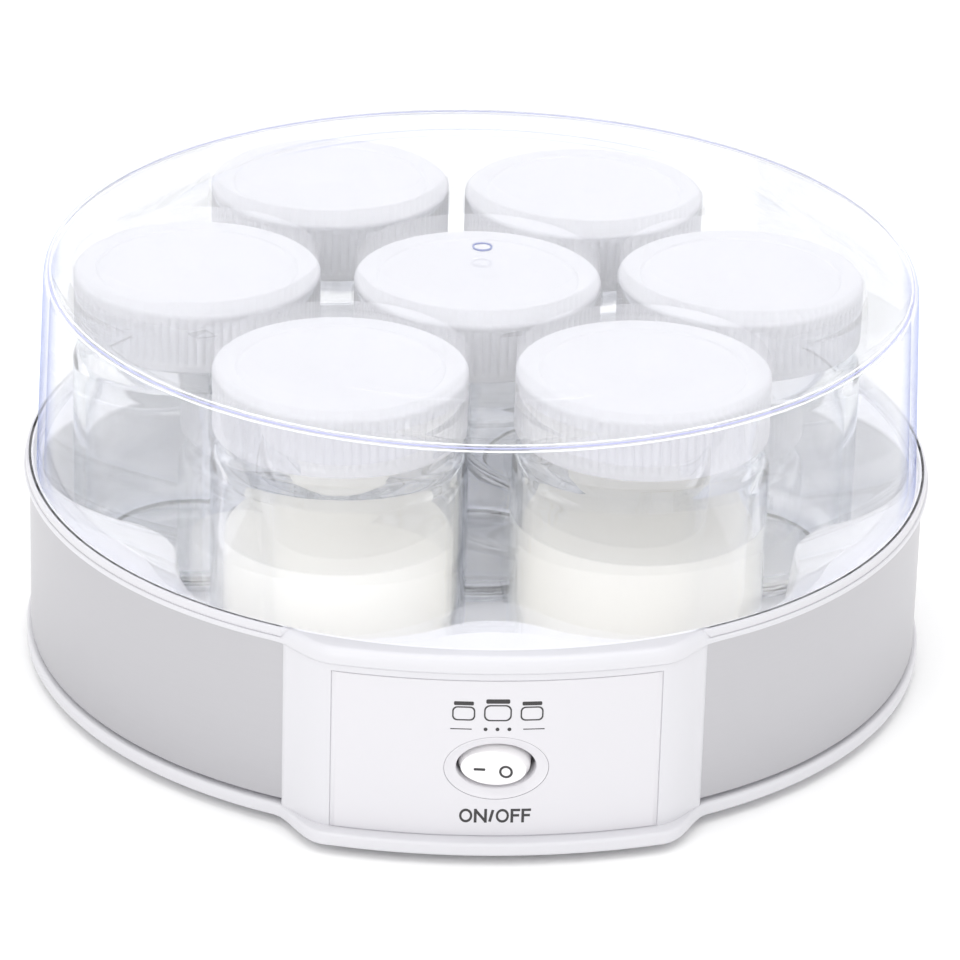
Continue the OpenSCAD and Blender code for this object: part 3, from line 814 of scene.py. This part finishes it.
def make_switch_housing():
    """The switch's body: a dished oval bezel round a deep oval well."""
    body = grown(WELL, 0.85)
    depth = SWITCH_HI.y + PANEL_FRONT_R
    return solid("switch_bezel", [
        oval_loop(body, depth, 0), oval_loop(body, 1.9, 0), oval_loop(grown(FLANGE, -0.75), 1.7),
        oval_loop(grown(FLANGE, -0.05), 1.1), oval_loop(FLANGE, 0.2), oval_loop(grown(FLANGE, -0.12), 0.02),
        oval_loop(grown(FLANGE, -0.35), 0.05), oval_loop(grown(FLANGE, -0.9), 0.4, 0.95),
        oval_loop(grown(FLANGE, -1.8), 0.85, 0.8), oval_loop(grown(WELL, 0.5), 1.05, 0.6),
        oval_loop(grown(WELL, 0.2), 1.2, 0.4), oval_loop(WELL, 1.6, 0.2), oval_loop(WELL, 8, 0),
        oval_loop(WELL, depth - 1.5, 0),
    ], sharp_degrees=40)


def rocker_point(x, y, z):
    """A point given about the rocker's pivot with the rocker level, moved to where it rests."""
    c, s = math.cos(ROCKER_TILT), math.sin(ROCKER_TILT)
    return (x * c - y * s, PIVOT_Y + x * s + y * c, SWITCH_Z + z)


def rocker_loop(half, y, dish=0.0):
    """An oval loop on the rocker, level with its pivot. dish sinks its middle."""
    outline = oval_points(0, 0, *half, 120)
    return [rocker_point(x, y + dish * (1 - (x / ROCKER[0]) ** 2), z) for x, z in outline]


ROCKER_FRONT = -6.4
ROCKER_DISH = 0.35
ROCKER_BEVEL = 0.75


def make_rocker():
    """The rocker: an oval cap with a bevelled edge and a slightly dished face."""
    back, front = 2.4, ROCKER_FRONT
    soft, slope = 0.5, 2.6
    loops = [
        [rocker_point(0, back, 0)], rocker_loop(grown(ROCKER, -0.4), back), rocker_loop(ROCKER, back - 0.5),
        rocker_loop(ROCKER, front + slope + 0.6), rocker_loop(grown(ROCKER, -0.15), front + slope),
    ]
    for i, t in enumerate(QUARTER_TURN):
        inset = ROCKER_BEVEL + soft * (1 - math.cos(t))
        y = front + soft - soft * math.sin(t)
        loops.append(rocker_loop(grown(ROCKER, -inset), y, ROCKER_DISH * i / 6))
    face = grown(ROCKER, -ROCKER_BEVEL - soft)
    for share in (0.8, 0.6, 0.4, 0.2):
        loops.append(rocker_loop((face[0] * share, face[1] * share), front, ROCKER_DISH))
    loops.append([rocker_point(0, front + ROCKER_DISH, 0)])
    return sheet("rocker_cap", loops)


def flat_stroke(bm, outline, place, thickness):
    """A thin raised shape. outline is a closed list of (x, z), and place turns (x, z, lift) into a point."""
    capped(bm, [[place(x, z, lift) for x, z in outline] for lift in (0, thickness)])


def ring_stroke(bm, outer, inner, place, thickness):
    """A thin raised frame between two outlines that have the same number of points."""
    skin(bm, [
        [place(x, z, lift) for x, z in outline]
        for outline, lift in ((outer, 0), (outer, thickness), (inner, thickness), (inner, 0))
    ], closed=True)


def box_points(cx, cz, w, h, r=0.0):
    """A box outline with rounded corners."""
    if r == 0:
        return [(cx + sx * w / 2, cz + sz * h / 2) for sx, sz in ((-1, -1), (1, -1), (1, 1), (-1, 1))]
    out = []
    for sx, sz, start in ((1, -1, -90), (1, 1, 0), (-1, 1, 90), (-1, -1, 180)):
        out += arc(cx + sx * (w / 2 - r), cz + sz * (h / 2 - r), r, start, start + 90, 6)
    return out


def make_rocker_marks():
    """The printed dash and ring on the rocker."""
    def place(x, z, lift):
        y = ROCKER_FRONT + ROCKER_DISH * (1 - (x / ROCKER[0]) ** 2)
        return rocker_point(x, y + 0.03 - lift, z)

    thickness = 0.08
    outer, inner = (oval_points(3.2, -0.8, r, r) for r in (1.75, 1.15))
    bm = bmesh.new()
    flat_stroke(bm, box_points(-3.5, -0.5, 2.9, 0.7, 0.2), place, thickness)
    ring_stroke(bm, outer, inner, place, thickness)
    return finished("rocker_marks", bm)


# ---- Print on the label ----


PRINT_T = 0.06


def on_label(x, z, lift):
    """The point on the panel's face at (x, z), raised by a lift from just under the film's skin."""
    return (x, face_y(x, 0.03) - lift, z)


def letter_strokes(letter, h):
    """Strokes of a capital O, N or F or a slash as lists of points from x 0 on, and the letter's width."""
    if letter == "O":
        w = h * 0.85
        turns = [FULL_TURN * i / 40 for i in range(41)]
        return [[(w / 2 + w / 2 * math.cos(t), h / 2 + h / 2 * math.sin(t)) for t in turns]], w
    if letter == "N":
        w = h * 0.8
        return [[(0, 0), (0, h)], [(0, h), (w, 0)], [(w, 0), (w, h)]], w
    if letter == "F":
        w = h * 0.53
        return [[(0, 0), (0, h)], [(0, h), (w, h)], [(0, h * 0.53), (w * 0.86, h * 0.53)]], w
    w = h * 0.25
    return [[(0, -0.02 * h), (w, 1.02 * h)]], w


def stroke_outline(points, half):
    """The two sides of a straight stroke of even width between two points."""
    ahead = points[1] - points[0]
    normal = Vector((-ahead.y, ahead.x)).normalized() * half
    return [p + normal for p in points], [p - normal for p in points]


def make_caption():
    """The switch's caption: ON/OFF in plain capitals."""
    height, width, gap, low = 3.95, 0.7, 0.34, 10.2
    half, line_h = width / 2, height - width
    letters = "ON/OFF"
    total = sum(letter_strokes(c, line_h)[1] for c in letters) + (gap + width) * (len(letters) - 1)
    x = -total / 2
    bm = bmesh.new()
    for c in letters:
        strokes, w = letter_strokes(c, line_h)
        for layer, points in enumerate(strokes):
            moved = [Vector((x + px, low + half + pz)) for px, pz in points]
            if c == "O":
                mid = Vector((x + w / 2, low + half + line_h / 2))
                outer, inner = (
                    [mid + (p - mid) * (1 + side * width / line_h) for p in moved[:-1]] for side in (1, -1)
                )
                ring_stroke(bm, outer, inner, on_label, PRINT_T)
                continue
            ahead = (moved[1] - moved[0]).normalized()
            square = abs(ahead.x) < 0.01 or abs(ahead.y) < 0.01
            reach = half if square else 0.0
            left, right = stroke_outline([moved[0] - ahead * reach, moved[1] + ahead * reach], half)
            flat_stroke(bm, left + right[::-1], on_label, PRINT_T + 0.004 * layer)
        x += w + gap + width
    return finished("switch_caption", bm)


def make_pictogram():
    """A generic mark: three small jars over a thin rule with three dots in its middle."""
    line, rule_z, dot_r = 0.38, 36.9, 0.5
    bm = bmesh.new()
    for cx, cz, w, h in ((-8.6, 42.0, 5.8, 5.4), (0, 42.3, 7.0, 6.2), (8.6, 42.0, 5.8, 5.4)):
        body_h, cap_h, corner = h * 0.74, h * 0.2, w * 0.22
        body_z = cz - h / 2 + body_h / 2
        outer = box_points(cx, body_z, w, body_h, corner)
        inner = box_points(cx, body_z, w - 2 * line, body_h - 2 * line, corner - line * 0.6)
        ring_stroke(bm, outer, inner, on_label, PRINT_T)
        top = box_points(cx, cz + h / 2 - cap_h / 2, w * 0.86, cap_h, cap_h * 0.3)
        flat_stroke(bm, top, on_label, PRINT_T)
    for side in (-1, 1):
        flat_stroke(bm, box_points(side * 9.2, rule_z, 5.4, 0.28), on_label, PRINT_T)
    for x in (0, -3, 3):
        flat_stroke(bm, oval_points(x, rule_z, dot_r, dot_r, 24), on_label, PRINT_T)
    return finished("label_pictogram", bm)


# ---- Jars ----


def jar_centre(place):
    """X and y of a jar's axis."""
    lo, hi = span("jar_" + place)
    return ((lo.x + hi.x) / 2, (lo.y + hi.y) / 2)


JAR_LO, JAR_HI = span("jar_left")
JAR_R = (JAR_HI.x - JAR_LO.x) / 2
LID_LO, LID_HI = span("lid_left")
LID_R = (LID_HI.x - LID_LO.x) / 2
JAR_IN_R = JAR_R - 3.3
NECK_R = 31.2
FINISH_R = 30.2
THREAD_R = 30.9
MOUTH_R = 27.4


def wall_bend(r0, r1, bends, z, steps=8):
    """The bend from an upright wall at r0 into a narrower upright wall at r1, going up from z."""
    turn = math.acos(1 - (r0 - r1) / sum(bends))
    turn_degrees = math.degrees(turn)
    top = z + sum(bends) * math.sin(turn)
    return arc(r0 - bends[0], z, bends[0], 0, turn_degrees, steps) + arc(
        r1 + bends[1], top, bends[1], 180 + turn_degrees, 180, steps
    )[1:]


def jar_profile():
    """The glass wall: from the middle of the foot up its outside to the mouth, and down its inside."""
    top = JAR_HI.z
    threads = []
    for drop in (10.0, 5.0):
        z = top - drop
        threads += [(FINISH_R, z - 0.8, 0.3), (THREAD_R, z, 0.4), (FINISH_R, z + 0.8, 0.3)]
    outer_shoulder = wall_bend(JAR_R, NECK_R, (5, 9), top - 24)
    inner_shoulder = wall_bend(JAR_IN_R, MOUTH_R, (5, 6), top - 25)
    return softened([
        (0, FLOOR_Z + 0.9), (JAR_R - 9, FLOOR_Z + 0.9, 1.5), (JAR_R - 7.5, FLOOR_Z, 0.8),
        (JAR_R - 4.5, FLOOR_Z, 1.2), (JAR_R, FLOOR_Z + 4.6, 4.5), *outer_shoulder,
        (NECK_R, top - 14.6, 0.5), (FINISH_R, top - 13.8, 0.4), *threads, (FINISH_R, top, 1.2),
        (MOUTH_R, top, 1.2), *reversed(inner_shoulder), (JAR_IN_R, FLOOR_Z + 4.5, 5.0), (0, FLOOR_Z + 4.5),
    ])


def yogurt_profile(top_z, air):
    """The filling, with its surface drawn up a little at its edge. air is the gap to the glass."""
    r = JAR_IN_R - air
    bottom = FLOOR_Z + 4.8
    return softened([
        (0, bottom), (r, bottom, 4.7), (r, top_z, 0.15), (r - 0.5, top_z - 0.1, 0.3),
        (r - 2.2, top_z - 0.7, 2.0), (0, top_z - 0.8),
    ])


RIBS = 88


def lid_shape(rib_low, rib_high):
    """The ribbed skirt: rounded ribs that fade out at their ends."""
    def shape(a, r, z):
        if r < LID_R - 0.75 or not rib_low < z < rib_high:
            return r
        fade = min(1.0, (z - rib_low) / 0.9, (rib_high - z) / 0.9)
        wave = 0.5 - 0.5 * math.cos(RIBS * a)
        return r - 0.55 * (1 - wave**0.55) * math.sqrt(max(fade, 0.0))
    return shape


def lid_profile():
    """The lid's section: down its inside, up the ribbed skirt, and back along the top to the middle."""
    lo, hi = LID_LO.z, LID_HI.z
    inner = LID_R - 1.5
    inside = softened([
        (0, hi - 1.6), (inner, hi - 1.6, 0.4), (inner, lo + 7.5), (inner - 0.35, lo + 7.0, 0.2),
        (inner - 0.35, lo + 6.4, 0.2), (inner, lo + 5.9), (inner, lo, 0.3), (LID_R, lo, 0.45),
        (LID_R, lo + 1.4),
    ])
    skirt = [(LID_R, lo + 1.6 + 0.45 * i) for i in range(29)]
    shoulder = softened([skirt[-1], (LID_R, hi, 1.5), (LID_R - 6, hi)])[1:-1]
    step = softened([
        (LID_R - 5.4, hi), (LID_R - 6.0, hi, 0.3), (LID_R - 6.5, hi - 0.4, 0.3), (LID_R - 7.5, hi - 0.4),
    ])
    middle = [(LID_R * 0.5, hi - 0.42), (2.2, hi - 0.42), (1.8, hi - 0.55), (0, hi - 0.55)]
    return inside + skirt + shoulder + step + middle


def make_jars():
    """All glass jars with their lids, and the fillings of the two in front."""
    ribbed = lid_shape(LID_LO.z + 1.9, LID_HI.z - 1.7)
    for place in PLACES:
        centre = jar_centre(place)
        body, lid = "jar_" + place, "lid_" + place
        fit(turned("glass_" + place, jar_profile(), 144, centre), body, "jar_glass", "jar_glass", body)
        lid_piece = turned("cap_" + place, lid_profile(), RIBS * 6, centre, ribbed, sharp_degrees=45)
        fit(lid_piece, lid, "lid_plastic", "lid_plastic", lid)
    for side, place, air, look in (
        ("left", "front_left", 0.3, "yogurt"), ("right", "front_right", -0.04, "yogurt_shaded"),
    ):
        top = span("yogurt_" + side)[1].z
        filling = turned("filling_" + side, yogurt_profile(top, air), 128, jar_centre(place))
        fit(filling, "jar_" + place, look, "yogurt", "yogurt_" + side)


# ---- Cover ----

COVER_FOOT_R = 119.1
COVER_TOP_R = 116.8
COVER_T = 2.0
COVER_EDGE_Z = COVER_HI.z - 4.4
COVER_DISC_R = 92
COVER_CROWN = 3.8


def crown(r):
    """Height of the cover's raised disc over the cover's edge, at a distance from the axis."""
    return COVER_CROWN - (COVER_CROWN - 2.2) * (r / COVER_DISC_R) ** 2


def cover_surface(inset):
    """One side of the cover's wall and top, from the foot to the axis."""
    edge = 3.7
    level = COVER_EDGE_Z - inset
    centre_r, centre_z = COVER_TOP_R - edge, COVER_EDGE_Z - edge
    foot_r, foot_z = COVER_FOOT_R - inset, COVER_LO.z + 0.5
    lean, height = COVER_TOP_R - inset - foot_r, centre_z - foot_z
    wall = [(foot_r + lean * i / 8, foot_z + height * i / 8) for i in range(9)]
    corner = arc(centre_r, centre_z, edge - inset, 0, 90, 10)[1:]
    disc_from = COVER_DISC_R - 8
    step = softened([
        (centre_r - 4, level + 0.2), (COVER_DISC_R + 2.4, level + 1.0, 5),
        (COVER_DISC_R - 2, level + 2.25, 5), (disc_from, level + crown(disc_from)),
    ])
    disc = [(r, level + crown(r)) for r in (disc_from * i / 10 for i in range(9, -1, -1))]
    return wall + corner + step + disc


def make_cover():
    """The clear dome, with its raised disc and the nub in the middle."""
    outside, inside = cover_surface(0), cover_surface(COVER_T)
    nub_r, nub_h = 3.2, 0.6
    top = outside[-1][1]
    nub = softened([
        (nub_r + 1.2, outside[-2][1] + 0.02), (nub_r, top, 0.1), (nub_r, top + nub_h, 0.25),
        (nub_r - 0.9, top + nub_h, 0.3), (nub_r - 1.2, top + 0.1, 0.2), (0, top + 0.1),
    ])
    foot_z = COVER_LO.z + 0.1  # a hair above the seat, so that no ray slips between two level faces
    foot = softened([inside[0], (inside[0][0], foot_z, 0.5), (outside[0][0], foot_z, 0.5), outside[0]])[1:-1]
    return turned("clear_dome", inside[::-1] + foot + outside[:-1] + nub, 240)


def make_rim_line(name, r, z, half):
    """A thin ring round the axis inside the clear plastic: a painted line of light and colour, where the
    plastic gathers light into a line.
    """
    return turned(name, arc(r, z, half, 0, 324, 9), 240, closed=True)


# ---- Cord inlet ----


def make_bush():
    """The cord inlet: a ribbed collar with a round hole."""
    inner, outer = BUSH_LO.y, BUSH_HI.y
    hole, face = 3.4, STEEL_R[1] + 0.1
    section = softened([
        (hole, inner + 0.5, 0.2), (hole + 0.4, inner, 0.2), (6.2, inner, 0.3), (6.2, face - 3.8), (6.2, face),
        (8.4, face, 0.3), (8.4, face + 1.7, 0.8), (6.7, face + 1.9, 0.4),
        (6.4, face + 3.4, 0.3), (5.9, face + 3.7, 0.2), (6.2, face + 4.0, 0.3),
        (6.0, face + 5.6, 0.3), (5.5, face + 5.9, 0.2), (5.8, face + 6.2, 0.3),
        (5.5, face + 7.8, 0.3), (5.1, face + 8.1, 0.2), (5.2, outer, 0.7), (hole + 0.5, outer, 0.3),
        (hole, outer - 0.6),
    ])
    loops = [[(x, y, z) for x, z in oval_points(0, CORD_Z, r, r, 72)] for r, y in section]
    return sheet("cord_collar", loops, closed=True)


# ---- Put the pieces in their places ----

bowl_inside, bowl_outside, deck_skin, seat_skin, rim_skin = make_tray()
# The tray's skins are one white plastic in painted tones: darker on the deck, seat and rim where the lamps
# fall strongest, with painted light as emission in the bowl, deck and seat.
fit(bowl_inside, "base", "white_plastic", "white_plastic", "jar_tray")
fit(bowl_outside, "base", "white_plastic", "white_plastic")
fit(deck_skin, "base", "deck_plastic_painted_shade_and_light", "white_plastic")
fit(seat_skin, "base", "seat_plastic_painted_shade_and_light", "white_plastic")
fit(rim_skin, "base", "panel_plastic_painted_shade", "white_plastic")
# The casing and the panel are the same white plastic, painted darker where the lamps fall strongest.
fit(make_shell(), "base", "panel_plastic_painted_shade", "white_plastic", "base_shell")
fit(make_steel(), "base", "brushed_steel", "brushed_steel", "steel_band")
fit(make_panel(), "base", "panel_plastic_painted_shade", "white_plastic", "control_panel")
fit(make_label(), "base", "label_film", "label_film", "label_plate")
fit(make_switch_housing(), "base", "bezel_plastic", "switch_plastic", "switch_housing")
fit(make_rocker(), "rocker", "switch_plastic", "switch_plastic", "switch_rocker")
fit(make_rocker_marks(), "rocker", "print_ink", "foot_rubber")
fit(make_caption(), "base", "print_ink", "foot_rubber")
fit(make_pictogram(), "base", "print_ink", "foot_rubber")
fit(make_bush(), "base", "bush_plastic", "bush_plastic", "cord_bush")
fit(make_cover(), "cover", "clear_plastic", "clear_plastic", "clear_cover")
# Painted highlights and painted edge colour in the clear cover: white gleams and a violet line at the rim's
# rounded corner, and a blue line round the nub.
for name, r, z, half, look in (
    ("rim_upper_gleam", COVER_TOP_R - 1.9, COVER_EDGE_Z - 1.3, 0.22, "rim_gleam"),
    ("rim_painted_violet_line", COVER_TOP_R - 1.4, COVER_EDGE_Z - 1.9, 0.2, "rim_painted_violet"),
    ("nub_painted_line", 2.5, COVER_HI.z - 0.3, 0.24, "nub_painted_blue"),
    ("rim_lower_gleam", COVER_TOP_R - 1.0, COVER_EDGE_Z - 2.6, 0.26, "rim_gleam"),
):
    fit(make_rim_line(name, r, z, half), "cover", look, "clear_plastic")
make_jars()

for row in frame["record"]["subparts"]:
    kept = frame["nodes"][row["node"]]
    dress(kept, row["material_slot"])

# ---- Stage: floor, light and camera ----


def make_stage():
    """A wide pale floor that belongs to no part."""
    bm = bmesh.new()
    reach = 3000
    bmesh.ops.create_grid(bm, x_segments=8, y_segments=8, size=reach)
    floor = finished("floor", bm)
    m, nodes, links, shader = material("pale_floor", {"Roughness": 0.9, "Specular IOR Level": 0.1})
    cloud = noise(nodes, links, 4)
    shaded(nodes, links, cloud, (0.97, 0.97, 0.97), (0.985, 0.985, 0.985), shader.inputs["Base Color"])
    floor.data.materials.append(m)


def area_light(name, spot, aim, size, power):
    """A square lamp. spot and aim are in millimetres."""
    data = bpy.data.lights.new(name, "AREA")
    data.size = size * MM
    data.energy = power
    lamp = bpy.data.objects.new(name, data)
    lamp.location = Vector(spot) * MM
    lamp.rotation_euler = (Vector(aim) - Vector(spot)).to_track_quat("-Z", "Y").to_euler()
    bpy.context.scene.collection.objects.link(lamp)


def make_light():
    """A white surrounding and three lamps: above, in front, and a small one like a window on the left."""
    world = bpy.data.worlds.new("studio")
    world.use_nodes = True
    around_all = world.node_tree.nodes["Background"].inputs
    around_all["Color"].default_value = (1, 1, 1, 1)
    around_all["Strength"].default_value = 1.0
    bpy.context.scene.world = world
    aim = (0, 0, 60)
    area_light("top", (0, 100, 1300), aim, 1300, 7)
    area_light("front", (-150, -1300, 500), aim, 1300, 2.2)
    area_light("window", (-550, -800, 900), aim, 350, 1.2)


def make_camera():
    """The camera looks down at the front from a little to the left, from far off, with a long lens."""
    elevation, azimuth, roll = math.radians(25.09), math.radians(-3.27), math.radians(-1.58)
    distance, aim_z = 1448.3, 48.6
    shift_right, shift_up = 1.09, -1.59
    level = math.cos(elevation)
    back = Vector((math.sin(azimuth) * level, -math.cos(azimuth) * level, math.sin(elevation)))
    right = Vector((math.cos(azimuth), math.sin(azimuth), 0))
    up = back.cross(right)
    aim = Vector((0, 0, aim_z)) + right * shift_right + up * shift_up
    data = bpy.data.cameras.new("photo_angle")
    data.sensor_width = 36
    data.lens = 199.7
    data.clip_start = 0.05
    data.clip_end = 20
    camera = bpy.data.objects.new("photo_angle", data)
    turn = Matrix((right, up, back)).transposed().to_4x4() @ Matrix.Rotation(-roll, 4, "Z")
    camera.matrix_world = Matrix.Translation((aim + back * distance) * MM) @ turn
    bpy.context.scene.collection.objects.link(camera)
    bpy.context.scene.camera = camera


make_stage()
make_light()
make_camera()
bpy.context.scene.view_settings.view_transform = "Standard"
light_bounces = 24
for limit in ("max_bounces", "transmission_bounces", "transparent_max_bounces"):
    setattr(bpy.context.scene.cycles, limit, light_bounces)
